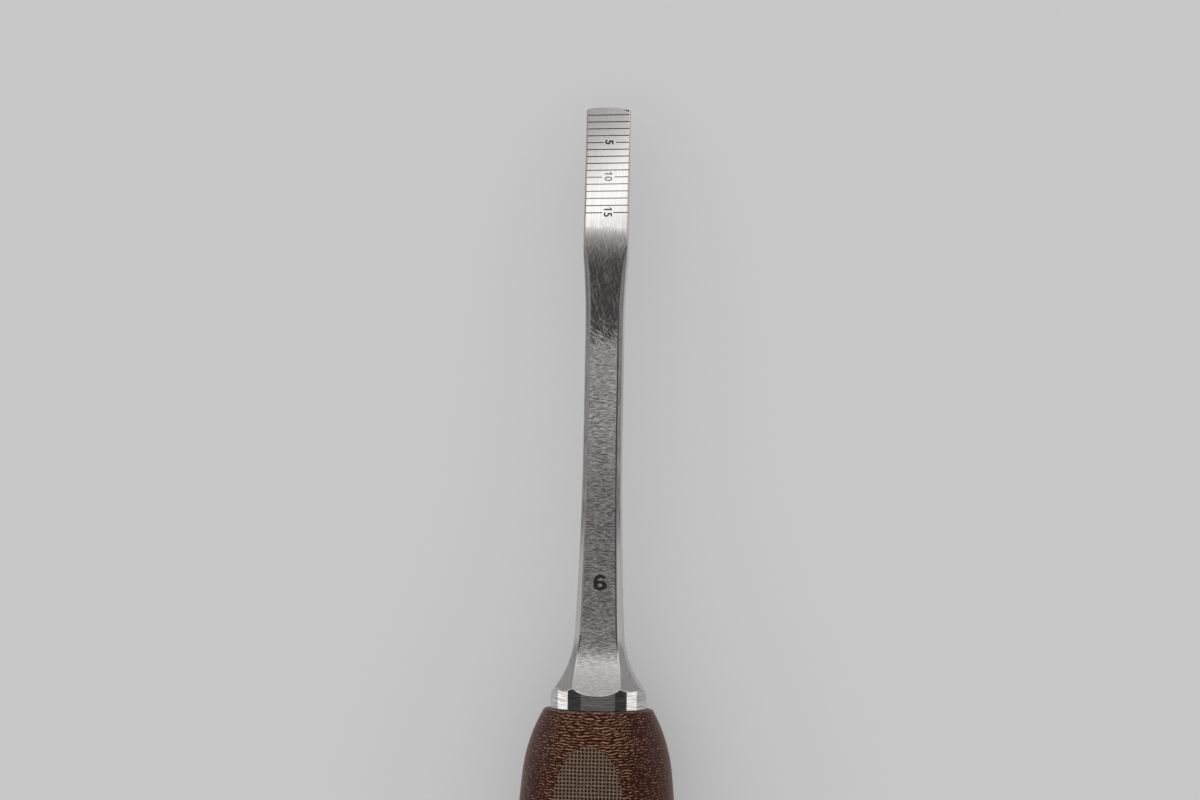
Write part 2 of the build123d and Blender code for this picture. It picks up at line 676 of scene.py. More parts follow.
@dataclass(frozen=True)
class GroundSteel:
    """Satin ground stainless steel: finely ground wedge, polished root, cross-brushed shank and collar."""

    light: Colour = (0.61, 0.595, 0.587, 1.0)
    deep: Colour = (0.45, 0.44, 0.437, 1.0)
    turned_light: Colour = (0.8, 0.79, 0.785, 1.0)
    turned_deep: Colour = (0.42, 0.41, 0.405, 1.0)
    neck_light: Colour = (0.66, 0.65, 0.64, 1.0)
    # Painted shade for the right corner's bevel at the tip, a dark tint in place of a dark reflection
    painted_bevel_shade: Colour = (0.05, 0.05, 0.052, 1.0)
    contrast: float = 1.75
    wedge_roughness: float = 0.085
    root_roughness: float = 0.12
    scratch_roughness: float = 0.26
    shank_roughness: float = 0.42
    neck_roughness: float = 0.25
    flare_roughness: float = 0.34
    collar_roughness: float = 0.06
    mark_strength: float = 0.5
    mark_depth: float = 0.00003
    brushing: Brushing = Brushing.CROSS

    def marks(self, bench: MaterialBench) -> WheelMarks:
        """Add the streaked noises: grain along the wedge, slanting scratches and the brushing.

        Args:
            bench: Material under way.

        Returns:
            The noises.
        """
        lengthwise = math.pi / 2.0
        grain = bench.streaks(5.0, 0.1, lengthwise)
        steep = bench.streaks(1.9, 0.08, -1.33)
        slanted = bench.streaks(1.3, 0.13, -0.72)
        crossing = bench.streaks(1.2, 0.12, 1.0)
        if self.brushing is Brushing.CROSS:
            fine = bench.streaks(0.85, 0.075)
            wide = bench.streaks(0.65, 0.125)
        else:
            fine = bench.streaks(3.0, 0.08, lengthwise)
            wide = bench.streaks(2.0, 0.2, lengthwise)
        crossed = bench.plus(bench.times(fine, 0.55), bench.times(wide, 0.45))
        return WheelMarks(grain, steep, slanted, crossing, crossed)

    def zones(self, bench: MaterialBench, marks: WheelMarks) -> BladeZones:
        """Choose between the zones by the reach, with ragged borders, and find the collar.

        The collar is where the distance from the axis, the root of (x squared + height squared), comes
        close to its radius.

        Args:
            bench: Material under way.
            marks: The streaked noises.

        Returns:
            The zones.
        """
        x, y, height = bench.millimetres()
        reach = bench.minus(TOTAL_LENGTH / 2.0, y)
        ragged = bench.times(bench.minus(marks.steep, 0.5), 5.0)
        wedge = bench.ranged(bench.plus(reach, ragged), 16.6, 20.2, 1.0, 0.0)
        torn = bench.times(bench.minus(marks.slanted, 0.5), 16.0)
        shank = bench.ranged(bench.plus(reach, torn), 31.5, 36.5, 0.0, 1.0)
        root = bench.minus(bench.minus(1.0, wedge), shank)
        upper = bench.ranged(reach, 40.0, 60.0, 0.0, 1.0)
        fresh = bench.ranged(reach, 36.0, 42.0, 1.0, 0.0)
        collar = bench.ranged(bench.distance(x, height), 6.44, 6.5, 0.0, 1.0)
        return BladeZones(x, reach, wedge, root, shank, upper, fresh, collar)

    def relief(self, bench: MaterialBench, marks: WheelMarks, zones: BladeZones) -> Socket:
        """Bump of the wheel marks, deepest on the shank and where it starts.

        Args:
            bench: Material under way.
            marks: The streaked noises.
            zones: The zones.

        Returns:
            The tilted normal.
        """
        woven = bench.plus(bench.times(marks.slanted, 0.5), bench.times(marks.crossing, 0.7))
        tears = bench.times(woven, bench.times(zones.shank, zones.fresh))
        off_collar = bench.minus(1.0, zones.collar)
        brushed = bench.times(marks.crossed, bench.times(zones.shank, off_collar))
        height = bench.plus(brushed, bench.times(tears, 1.6))
        height = bench.plus(height, bench.times(bench.times(marks.steep, zones.root), 0.35))
        height = bench.plus(height, bench.times(bench.times(marks.grain, zones.wedge), 0.03))
        return bench.bump(height, self.mark_strength, self.mark_depth)

    def colour(self, bench: MaterialBench, marks: WheelMarks, zones: BladeZones) -> Socket:
        """Colour of the steel: light ridges and deep valleys of the marks, zone by zone.

        The shank's contrast fades towards the middle colour on the flare, the collar has fine turned
        lines, and the right corner's bevel at the tip is tinted dark as painted shade, in place of a
        dark reflection.

        Args:
            bench: Material under way.
            marks: The streaked noises.
            zones: The zones.

        Returns:
            The colour.
        """
        ground = bench.times(bench.ranged(marks.grain, 0.3, 0.7, 0.4, 0.9), zones.wedge)
        polished = bench.times(bench.ranged(marks.steep, 0.35, 0.65, 0.1, 0.9), zones.root)
        colour = bench.mixed(bench.plus(ground, polished), self.deep, self.light)
        valley = scaled_colour(self.deep, 1.0 / self.contrast)
        ridge = scaled_colour(self.light, self.contrast**0.55, 0.95)
        middle = tuple(0.5 * (low + high) for low, high in zip(valley, ridge))
        scored = bench.mixed(bench.ranged(marks.crossed, 0.41, 0.59, -0.1, 1.1), valley, ridge)
        scored = bench.mixed(bench.ranged(zones.reach, 75.3, 78.3, 0.0, 0.7), scored, middle)
        colour = bench.mixed(zones.shank, colour, scored)
        if self.brushing is Brushing.LENGTHWISE:
            rising = bench.ranged(zones.reach, 57.0, 64.0, 0.0, 1.0)
            falling = bench.ranged(zones.reach, 73.5, 76.0, 1.0, 0.0)
            colour = bench.mixed(bench.times(rising, falling), colour, self.neck_light)
        turned_lines = bench.ranged(bench.streaks(2.5, 0.1), 0.4, 0.64, 0.0, 1.0)
        turned = bench.mixed(turned_lines, self.turned_deep, self.turned_light)
        colour = bench.mixed(zones.collar, colour, turned)
        # Painted shade: the right corner's bevel at the tip is tinted dark, standing in for the dark
        # reflection of a steep facet
        slope = bench.times(bench.minus(zones.across, 2.2), 0.444)
        painted_shade_over_bevel = bench.ranged(bench.minus(zones.reach, slope), 0.26, 0.42, 1.0, 0.0)
        painted_shade_over_bevel = bench.times(painted_shade_over_bevel, bench.ranged(zones.across, 2.15, 2.35, 0.0, 1.0))
        return bench.mixed(painted_shade_over_bevel, colour, self.painted_bevel_shade)

    def roughness(self, bench: MaterialBench, marks: WheelMarks, zones: BladeZones) -> Socket:
        """Roughness zone by zone: scratches roughen the root, and the brushing grows finer upwards.

        Args:
            bench: Material under way.
            marks: The streaked noises.
            zones: The zones.

        Returns:
            The roughness.
        """
        ground = bench.times(zones.wedge, self.wedge_roughness)
        deepest = bench.math("MAXIMUM", marks.steep, marks.crossing)
        scratched = bench.ranged(deepest, 0.54, 0.7, 0.0, self.scratch_roughness)
        rough = bench.plus(ground, bench.times(zones.root, bench.plus(scratched, self.root_roughness)))
        brushed = bench.ranged(zones.upper, 0.0, 1.0, self.shank_roughness, self.neck_roughness)
        coarser = bench.ranged(zones.reach, 69.0, 74.0, 0.0, self.flare_roughness - self.neck_roughness)
        rough = bench.plus(rough, bench.times(zones.shank, bench.plus(brushed, coarser)))
        return bench.blended(zones.collar, rough, self.collar_roughness)

    def make(self, name: str = "ground_steel") -> bpy.types.Material:
        """Make the material.

        Args:
            name: Name of the material.

        Returns:
            The material.
        """
        bench = MaterialBench(name)
        marks = self.marks(bench)
        zones = self.zones(bench, marks)
        bench.feed("Normal", self.relief(bench, marks, zones))
        bench.feed("Base Color", self.colour(bench, marks, zones))
        bench.feed("Roughness", self.roughness(bench, marks, zones))
        haze = bench.times(zones.shank, bench.minus(1.0, zones.collar))
        bench.feed("Metallic", bench.times_plus(haze, -0.15, 1.0))
        return bench.material


@dataclass(frozen=True)
class PolishedEdge:
    """The narrow rounded edge between two facets, rubbed bright by handling."""

    colour: Colour = (0.56, 0.55, 0.545, 1.0)
    roughness: float = 0.12
    roughness_range: float = 0.1

    def make(self, name: str = "polished_edge") -> bpy.types.Material:
        """Make the material: polished metal, a little rougher in places.

        Args:
            name: Name of the material.

        Returns:
            The material.
        """
        bench = MaterialBench(name)
        most = self.roughness + self.roughness_range
        bench.feed("Base Color", self.colour)
        bench.feed("Metallic", 1.0)
        bench.feed("Roughness", bench.ranged(bench.streaks(1.0, 0.3), 0.35, 0.65, self.roughness, most))
        return bench.material


@dataclass(frozen=True)
class TurnedSteel:
    """Turned steel of the cap, with fine rings and small mallet marks."""

    light: Colour = (0.62, 0.61, 0.6, 1.0)
    deep: Colour = (0.5, 0.49, 0.485, 1.0)
    least_roughness: float = 0.23
    roughness_range: float = 0.12
    rings_per_metre: float = 9000.0
    ring_depth: float = 0.00001
    dent_depth: float = 0.00003

    def make(self, name: str = "turned_steel") -> bpy.types.Material:
        """Make the material.

        The rings are a noise of the distance from the axis and of Y, and the dents are the peaks of a
        coarser noise.

        Args:
            name: Name of the material.

        Returns:
            The material.
        """
        bench = MaterialBench(name)
        x, y, z = bench.xyz(bench.coordinates())
        radius = bench.distance(x, bench.minus(z, FLAT_DISTANCE * METRES_PER_MM))
        joined = bench.node("ShaderNodeCombineXYZ")
        bench.link(bench.times(radius, self.rings_per_metre), joined.inputs[0])
        bench.link(bench.times(y, self.rings_per_metre), joined.inputs[1])
        rings = bench.noise(joined.outputs[0], 1.0, 3.0, 0.6)
        dents = bench.ranged(bench.noise(bench.coordinates(), 900.0, 2.0, 0.6), 0.6, 0.75, 0.0, 1.0)
        normal = bench.bump(rings, 0.3, self.ring_depth)
        bench.feed("Normal", bench.bump(dents, 0.3, self.dent_depth, normal))
        bench.feed("Base Color", bench.mixed(bench.ranged(rings, 0.3, 0.7, 0.0, 1.0), self.deep, self.light))
        bench.feed("Roughness", bench.times_plus(rings, self.roughness_range, self.least_roughness))
        bench.feed("Metallic", 1.0)
        return bench.material


@dataclass(frozen=True)
class MarkedSteel:
    """Annealed dark marks on steel: still metal, with a dull dark skin, lightened over the wedge by a painted
    highlight.
    """

    skin: Colour = (0.06, 0.056, 0.056, 1.0)
    pale: Colour = (0.1, 0.095, 0.095, 1.0)
    # Painted highlight: the glare of the bright strip on the marks over the wedge
    faint: Colour = (0.27, 0.262, 0.27, 1.0)

    def make(self, name: str = "marked_steel") -> bpy.types.Material:
        """Make the material: dark metal, uneven from dot to dot, and lighter at the middle lines by a painted
        highlight.

        Args:
            name: Name of the material.

        Returns:
            The material.
        """
        bench = MaterialBench(name)
        dots = bench.noise(bench.coordinates(), 14000.0, 2.0, 0.6)
        colour = bench.mixed(bench.ranged(dots, 0.35, 0.7, 0.0, 1.0), self.skin, self.pale)
        # Painted highlight: the marks between reach 8.2 and 15.4 mm are lightened where the wedge mirrors the
        # bright strip
        reach = bench.minus(TOTAL_LENGTH / 2.0, bench.millimetres()[1])
        rising = bench.ranged(reach, 8.2, 10.2, 0.0, 1.0)
        falling = bench.ranged(reach, 13.2, 15.4, 1.0, 0.0)
        bench.feed("Base Color", bench.mixed(bench.times(rising, falling), colour, self.faint))
        bench.feed("Roughness", bench.ranged(dots, 0.3, 0.7, 0.35, 0.5))
        bench.feed("Metallic", 1.0)
        return bench.material


@dataclass(frozen=True)
class CanvasLaminate:
    """Canvas phenolic laminate: tan cotton plies in dark red resin, cut by the turned surface.

    Pitches are millimetres.
    """

    resin: Colour = (0.028, 0.0052, 0.0027, 1.0)
    thread: Colour = (0.262, 0.148, 0.096, 1.0)
    khaki: Colour = (0.178, 0.128, 0.093, 1.0)
    worn_khaki: Colour = (0.108, 0.068, 0.048, 1.0)
    hole: Colour = (0.012, 0.003, 0.002, 1.0)
    sheen_tint: Colour = (1.0, 0.72, 0.62, 1.0)
    ply_pitch: float = 0.3
    line_pitch: float = 0.36
    thread_pitch: float = 0.488
    weave_depth: float = 0.00003

    def threads(self, bench: MaterialBench, x: Socket, y: Socket, shaken: Socket) -> Socket:
        """Threads where the surface cuts the plies on a slant.

        They are thin tan lines across the instrument: a cosine of Y over the line pitch, whose phase
        wanders with a noise that changes fast with height, so that every ply has a phase of its own.
        Where the surface is steep this breaks the lines into short worms. They grow sparser sideways.

        Args:
            bench: Material under way.
            x: Place across in millimetres.
            y: Place along in millimetres.
            shaken: Fine noise round 0.

        Returns:
            Share of thread in the colour.
        """
        plied = bench.noise(bench.stretched((650.0, 420.0, 1000.0 / self.ply_pitch)), 1.0, 1.0, 0.5)
        phase = bench.times(y, 2.0 * math.pi / self.line_pitch)
        phase = bench.times_plus(bench.minus(plied, 0.5), 12.0, phase)
        phase = bench.times_plus(shaken, 2.2, phase)
        broken = bench.noise(bench.stretched((1500.0, 3300.0, 2900.0)), 1.0, 1.0, 0.5)
        strength = bench.times_plus(bench.minus(broken, 0.5), 3.4, bench.math("COSINE", phase))
        sparser = bench.ranged(bench.math("ABSOLUTE", x), 3.5, 7.5, 0.0, -0.42)
        return bench.ranged(bench.plus(strength, sparser), 0.3, 1.15, 0.0, 1.0)

    def cover(self, bench: MaterialBench, x: Socket, y: Socket, shaken: Socket) -> Socket:
        """Open weave on the two flats, where the cut stays within one ply.

        It is all but the places where both thread waves, cosines of X and of Y, are low.

        Args:
            bench: Material under way.
            x: Place across in millimetres.
            y: Place along in millimetres.
            shaken: Fine noise round 0.

        Returns:
            Share of cloth in the colour.
        """
        wander = bench.noise(bench.coordinates(), 700.0, 2.0, 0.5)
        sway = bench.times(bench.minus(wander, 0.5), 0.16)
        jitter = bench.times(shaken, 0.1)
        per_thread = 2.0 * math.pi / self.thread_pitch
        phase_x = bench.times(bench.plus(x, bench.plus(sway, jitter)), per_thread)
        phase_y = bench.times(bench.minus(y, bench.minus(sway, jitter)), per_thread)
        waves = bench.math("MAXIMUM", bench.math("COSINE", phase_x), bench.math("COSINE", phase_y))
        return bench.ranged(bench.times_plus(shaken, 1.6, waves), 0.05, 0.7, 0.0, 1.0)

    def make(self, name: str = "canvas_laminate") -> bpy.types.Material:
        """Make the material: threads on the barrel, open weave on the flats, and a faint warm sheen.

        Args:
            name: Name of the material.

        Returns:
            The material.
        """
        bench = MaterialBench(name)
        x, y, height = bench.millimetres()
        wobble = bench.noise(bench.coordinates(), 1900.0, 2.0, 0.6)
        shaken = bench.minus(wobble, 0.5)
        threads = self.threads(bench, x, y, shaken)
        cover = self.cover(bench, x, y, shaken)
        barrel = bench.mixed(threads, self.resin, self.thread)
        worn = bench.mixed(bench.ranged(wobble, 0.35, 0.65, 0.0, 1.0), self.khaki, self.worn_khaki)
        weave = bench.mixed(cover, self.hole, worn)
        level = bench.plus(bench.math("ABSOLUTE", height), bench.times(shaken, 0.3))
        on_flat = bench.ranged(level, FLAT_DISTANCE - 0.16, FLAT_DISTANCE - 0.06, 0.0, 1.0)
        bench.feed("Base Color", bench.mixed(on_flat, barrel, weave))
        bench.feed("Normal", bench.bump(bench.mixed(on_flat, threads, cover), 0.3, self.weave_depth))
        bench.feed("Roughness", bench.ranged(threads, 0.0, 1.0, 0.4, 0.55))
        bench.feed("Specular IOR Level", 0.06)
        bench.feed("Sheen Weight", 0.16)
        bench.feed("Sheen Roughness", 0.45)
        bench.feed("Sheen Tint", self.sheen_tint)
        return bench.material


@dataclass(frozen=True)
class FloorPaint:
    """Plain pale floor, which the camera and mirrors see partly at an even level."""

    colour: Colour = (0.675, 0.675, 0.68, 1.0)
    level: Colour = (0.5, 0.497, 0.503, 1.0)
    unevenness: float = 0.985
    even_share: float = 0.5

    def make(self, name: str = "floor_paint") -> bpy.types.Material:
        """Make the material: pale matt paint with the faintest unevenness.

        For camera, mirror and glass rays a share of it is an even glow at the paint's own level, so that
        the shadow stays soft. All other rays meet the paint alone.

        Args:
            name: Name of the material.

        Returns:
            The material.
        """
        bench = MaterialBench(name)
        clouds = bench.noise(bench.coordinates(), 3.0, 1.0, 0.5)
        clouded = scaled_colour(self.colour, self.unevenness)
        bench.feed("Base Color", bench.mixed(clouds, self.colour, clouded))
        bench.feed("Roughness", 1.0)
        bench.feed("Specular IOR Level", 0.0)
        path = bench.node("ShaderNodeLightPath").outputs
        seen = bench.math("MAXIMUM", path["Is Camera Ray"], path["Is Glossy Ray"])
        seen = bench.math("MAXIMUM", seen, path["Is Transmission Ray"])
        even = bench.node("ShaderNodeEmission")
        even.inputs["Color"].default_value = self.level
        mix = bench.node("ShaderNodeMixShader")
        bench.link(bench.times(seen, self.even_share), mix.inputs[0])
        bench.link(bench.shader.outputs[0], mix.inputs[1])
        bench.link(even.outputs[0], mix.inputs[2])
        bench.show(mix.outputs[0])
        return bench.material


@dataclass(frozen=True)
class GlowingCard:
    """Plain sheet that glows in one colour."""

    colour: Colour
    strength: float = 1.0

    def make(self, name: str) -> bpy.types.Material:
        """Make the material.

        Args:
            name: Name of the material.

        Returns:
            The material.
        """
        bench = MaterialBench(name)
        emission = bench.node("ShaderNodeEmission")
        emission.inputs["Color"].default_value = self.colour
        emission.inputs["Strength"].default_value = self.strength
        bench.show(emission.outputs[0])
        return bench.material


@dataclass(frozen=True)
class CardCloth:
    """Cloth of the dark card overhead, whose glow changes across it.

    Heights are metres, angles are degrees from straight up as the graduated face sees them, and a level
    of 1 mirrors as white.
    """

    height: float = 1.2
    foot_y: float = 0.085
    low: float = -24.0
    high: float = 31.0
    strip_slant: float = 0.41
    slant_middle: float = 0.8
    slant_limit: float = 2.5
    left_end: float = -36.0
    right_end: float = 49.0
    end_blur: float = 1.2
    black: Colour = (0.02, 0.02, 0.021, 1.0)
    strength: float = 3.0
    levels: tuple = (
        (-24.0, 0.08),
        (8.0, 0.08),
        (11.0, 0.11),
        (14.0, 0.17),
        (17.0, 0.27),
        (20.0, 0.45),
        (22.4, 0.54),
        (23.8, 0.58),
        (24.35, 1.0),
        (24.85, 2.6),
        (25.3, 2.6),
        (25.75, 1.7),
        (26.3, 1.1),
        (31.0, 1.0),
    )

    def band(self, bench: MaterialBench, angle: Socket) -> Socket:
        """Glow by the angle along the instrument, as a colour ramp through the levels.

        Args:
            bench: Material under way.
            angle: The angle in degrees.

        Returns:
            The glow's colour, divided by the strength.
        """
        ramp = bench.node("ShaderNodeValToRGB")
        stops = ramp.color_ramp.elements
        stops.remove(stops[1])
        span = self.high - self.low
        for index, (stop, level) in enumerate(self.levels):
            element = stops.new((stop - self.low) / span) if index else stops[0]
            share = level / self.strength
            element.color = (share, share * 0.985, share * 0.98, 1.0)
        bench.link(bench.math("DIVIDE", bench.minus(angle, self.low), span), ramp.inputs[0])
        return ramp.outputs[0]

    def make(self, name: str = "card_cloth") -> bpy.types.Material:
        """Make the material.

        Along Y its glow follows the angle whose tangent is (y - foot) / height: dark grey over the
        instrument, growing lighter towards the tip's side and ending in a bright strip whose edge is a
        little slanted. Further out on both sides it is black.

        Args:
            name: Name of the material.

        Returns:
            The material.
        """
        bench = MaterialBench(name)
        x, y, _ = bench.xyz(bench.coordinates())
        angle = bench.math("DEGREES", bench.math("ARCTAN2", bench.minus(y, self.foot_y), self.height))
        sideways = bench.math("DEGREES", bench.math("ARCTAN2", x, self.height))
        slant = bench.math("MAXIMUM", bench.minus(sideways, self.slant_middle), -self.slant_limit)
        slant = bench.math("MINIMUM", slant, self.slant_limit)
        band = self.band(bench, bench.times_plus(slant, self.strip_slant, angle))
        across = bench.math("DIVIDE", x, self.height)
        left = [math.tan(math.radians(side)) for side in (self.left_end - self.end_blur, self.left_end)]
        right = [math.tan(math.radians(side)) for side in (self.right_end - self.end_blur, self.right_end)]
        inside = bench.times(bench.ranged(across, *left, 0.0, 1.0), bench.ranged(across, *right, 1.0, 0.0))
        emission = bench.node("ShaderNodeEmission")
        bench.link(bench.mixed(inside, self.black, band), emission.inputs["Color"])
        emission.inputs["Strength"].default_value = self.strength
        bench.show(emission.outputs[0])
        return bench.material


# Sub-assemblies


def give_finishes(piece: bpy.types.Object, materials: list, node: str = "") -> None:
    """Give a piece its finishes, let it ride on the body and hide the CAD node that it replaces.

    Args:
        piece: The object.
        materials: Its finishes, in the order of the numbers of its faces.
        node: CAD node that it replaces, or nothing.
    """
    for material in materials:
        piece.data.materials.append(material)
    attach(piece, "root")
    if node:
        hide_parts(node)


@dataclass
class GroundBlade:
    """Cutting edge, blade, shank, neck, collar and tang: one piece of steel.

    All sizes are millimetres and are the CAD source's own.
    """

    half_edge: float = 3.1
    half_edge_thickness: float = 0.15
    edge_crown: float = 0.1
    left_bevel_width: float = 0.35
    right_bevel_width: float = 0.9
    bevel_reach: float = 0.4
    half_blade: float = 3.07
    half_shank: float = 2.62
    half_thickness: float = 2.6
    chamfer: float = 0.6
    wedge_reach: float = 17.0
    edge_slope: float = 5.0
    root_step: float = 0.44
    scoop_reach: float = 21.3
    scoop_end: float = 32.0
    chamfer_full: float = 29.0
    wheel_radius: float = 70.0
    taper_reach: float = 45.0
    taper_rise: float = 0.65
    corner_taper_rise: float = 0.75
    side_flare: float = 8.2
    broad_flare: float = 7.2
    corner_flare: float = 7.7
    corner_lead: float = 0.5
    flare_end: float = 81.6
    collar_radius: float = 6.57
    collar_chamfer: float = 0.15
    tang_radius: float = 3.0
    head_radius: float = 4.2
    head_height: float = 1.4
    head_break: float = 0.06
    edge_break: float = 0.13
    tip_bend_reach: float = 1.5
    dull_edge_end: float = 73.5
    edge_end: float = 79.0

    def wedge(self, reach: np.ndarray) -> np.ndarray:
        """Half thickness of the hollow wedge and its blend into the shank.

        The wedge is a circular arc that leaves the edge at the edge slope and passes through the root. The
        blend is the arc that is tangent to it there and to the shank's straight face.

        Args:
            reach: Distances from the cutting edge.

        Returns:
            The distance of the broad face from the axis.
        """
        slope = math.radians(self.edge_slope)
        rise = self.half_thickness - self.root_step - self.half_edge_thickness
        chord = math.atan2(rise, self.wedge_reach)
        radius = math.hypot(rise, self.wedge_reach) / (2.0 * math.sin(chord - slope))
        sine = math.sin(slope) + np.clip(reach, 0.0, self.wedge_reach) / radius
        hollow = self.half_edge_thickness + radius * (math.cos(slope) - np.sqrt(1.0 - sine**2))
        end_slope = 2.0 * chord - slope
        blend_length = self.root_step / math.tan(end_slope / 2.0)
        left = self.wedge_reach + blend_length - reach
        blend = self.half_thickness - easing(left, blend_length, self.root_step)
        return np.where(reach < self.wedge_reach, hollow, blend)

    def flared(self, kind: Facet, straight: float, reach: np.ndarray) -> np.ndarray:
        """Distance of a facet from the axis over the taper and the flare, up to the collar.

        The flare is the arc that leaves the taper smoothly and meets the collar's radius at its own end:
        its slope's sine grows evenly with the reach.

        Args:
            kind: Which facet.
            straight: The facet's distance on the straight shank.
            reach: Distances from the cutting edge.

        Returns:
            The facet's distance from the axis.
        """
        along = {
            Facet.SIDE: self.side_flare,
            Facet.BROAD: self.broad_flare,
            Facet.CORNER: self.corner_flare,
        }[kind]
        end = self.flare_end - (self.corner_lead if kind is Facet.CORNER else 0.0)
        rise = self.corner_taper_rise if kind is Facet.CORNER else self.taper_rise
        start = end - along
        length = start - self.taper_reach
        taper = straight + easing(reach - self.taper_reach, length, rise)
        lean = 2.0 * math.atan(rise / length)
        across = self.collar_radius - straight - rise
        radius = math.hypot(across, along) / (2.0 * math.sin(math.atan2(across, along) - lean))
        sine = np.clip(math.sin(lean) + (reach - start) / radius, -1.0, 0.995)
        flare = straight + rise + radius * (math.cos(lean) - np.sqrt(1.0 - sine**2))
        return np.where(reach > start, np.where(reach > end, CLEAR_OF_BLANK, flare), taper)

    def offset(self, kind: Facet, reach: np.ndarray) -> np.ndarray:
        """Distance of a kind of facet from the axis at each reach.

        Args:
            kind: Which facet.
            reach: Distances from the cutting edge.

        Returns:
            Array of distances in millimetres.
        """
        if kind is Facet.BROAD:
            flared = self.flared(kind, self.half_thickness, reach)
            return np.where(reach < self.scoop_end, self.wedge(reach), flared)
        if kind is Facet.SIDE:
            return self.side_offset(reach)
        return self.corner_offset(reach)

    def side_offset(self, reach: np.ndarray) -> np.ndarray:
        """Distance of the side facets: a straight line along the blade, and an arc down to the shank.

        Args:
            reach: Distances from the cutting edge.

        Returns:
            The facets' distance from the axis.
        """
        bevel_foot = self.edge_crown + self.bevel_reach
        share = np.clip((reach - bevel_foot) / (self.scoop_reach - bevel_foot), 0.0, 1.0)
        straight = self.half_edge + (self.half_blade - self.half_edge) * share
        length = self.scoop_end - self.scoop_reach
        scoop = self.half_shank + easing(self.scoop_end - reach, length, self.half_blade - self.half_shank)
        blade = np.where(reach < self.scoop_reach, straight, scoop)
        return np.where(reach < self.scoop_end, blade, self.flared(Facet.SIDE, self.half_shank, reach))

    def corner_offset(self, reach: np.ndarray) -> np.ndarray:
        """Distance of the corner facets, which run out towards the blade on the wheel's arc.

        The arc rises by R less the root of (R squared - d squared) at a distance d. The facets stay a
        little inside the sharp corner, so that a narrow edge is left there.

        Args:
            reach: Distances from the cutting edge.

        Returns:
            The facets' distance from the axis.
        """
        full = (self.half_shank + self.half_thickness - self.chamfer) / math.sqrt(2.0)
        run = np.clip(self.chamfer_full - reach, 0.0, None)
        rise = self.wheel_radius - np.sqrt(self.wheel_radius**2 - run**2)
        ground = np.where(reach < self.chamfer_full, full + rise, self.flared(Facet.CORNER, full, reach))
        sharp = (self.offset(Facet.SIDE, reach) + self.offset(Facet.BROAD, reach)) / math.sqrt(2.0)
        return np.minimum(ground, sharp - 0.6 * self.edge_break)

    def rows(self) -> tuple[np.ndarray, np.ndarray, np.ndarray]:
        """Where the rings are: close together where the shape changes fast.

        Returns:
            Arrays of each ring's reach, its blank's radius and the share of its thickness that it keeps.
        """
        body = chained(
            np.linspace(0.0, 0.06, 3),
            np.linspace(0.06, 1.2, 24),
            np.linspace(1.2, 16.5, 62),
            np.linspace(16.5, 23.5, 48),
            np.linspace(23.5, 33.0, 40),
            np.linspace(33.0, 45.0, 16),
            np.linspace(45.0, 73.4, 44),
            np.linspace(73.4, 79.6, 46),
            np.linspace(79.6, self.flare_end + 0.02, 56),
        )
        chamfer_foot = BLADE_REACH - self.collar_chamfer
        rim = self.collar_radius - self.collar_chamfer
        sink_foot = TOTAL_LENGTH - self.head_height
        half_break = self.head_break / 2.0
        turned = np.array(
            [
                (81.66, self.collar_radius),
                (82.2, self.collar_radius),
                (82.9, self.collar_radius),
                (chamfer_foot - 0.04, self.collar_radius),
                (chamfer_foot, self.collar_radius),
                (BLADE_REACH - 0.004, rim),
                (BLADE_REACH, rim),
                (BLADE_REACH, self.tang_radius + 0.02),
                (BLADE_REACH + 0.05, self.tang_radius),
                (sink_foot - 0.05, self.tang_radius),
                (sink_foot, self.tang_radius),
                (TOTAL_LENGTH - half_break, self.head_radius - half_break),
                (TOTAL_LENGTH, self.head_radius - self.head_break),
                (TOTAL_LENGTH, 3.0),
                (TOTAL_LENGTH, 1.5),
                (TOTAL_LENGTH, 0.0),
            ]
        )
        reach = np.concatenate([[0.0, 0.0], body, turned[:, 0]])
        radius = np.concatenate([np.full(len(body) + 2, self.collar_radius), turned[:, 1]])
        share = np.concatenate([[0.0, 0.7], np.ones(len(reach) - 2)])
        return reach, radius, share

    def tip_set_back(self, x: np.ndarray) -> np.ndarray:
        """How far the cutting edge lies behind its foremost point.

        The middle is a parabola close to the crown's arc, and each end is a straight bevel.

        Args:
            x: Place across the blade.

        Returns:
            Set-back along the axis in millimetres.
        """
        left = self.left_bevel_width - self.half_edge
        right = self.half_edge - self.right_bevel_width
        middle = (left + right) / 2.0
        half = (right - left) / 2.0
        crown = self.edge_crown * np.clip((x - middle) / half, -1.0, 1.0) ** 2
        on_left = np.clip((left - x) / self.left_bevel_width, 0.0, 1.0)
        on_right = np.clip((x - right) / self.right_bevel_width, 0.0, 1.0)
        return crown + self.bevel_reach * (on_left + on_right)

    def face_height(self, reach: np.ndarray) -> np.ndarray:
        """Height of the graduated face above the axis, before the blade is turned."""
        return self.offset(Facet.BROAD, reach)

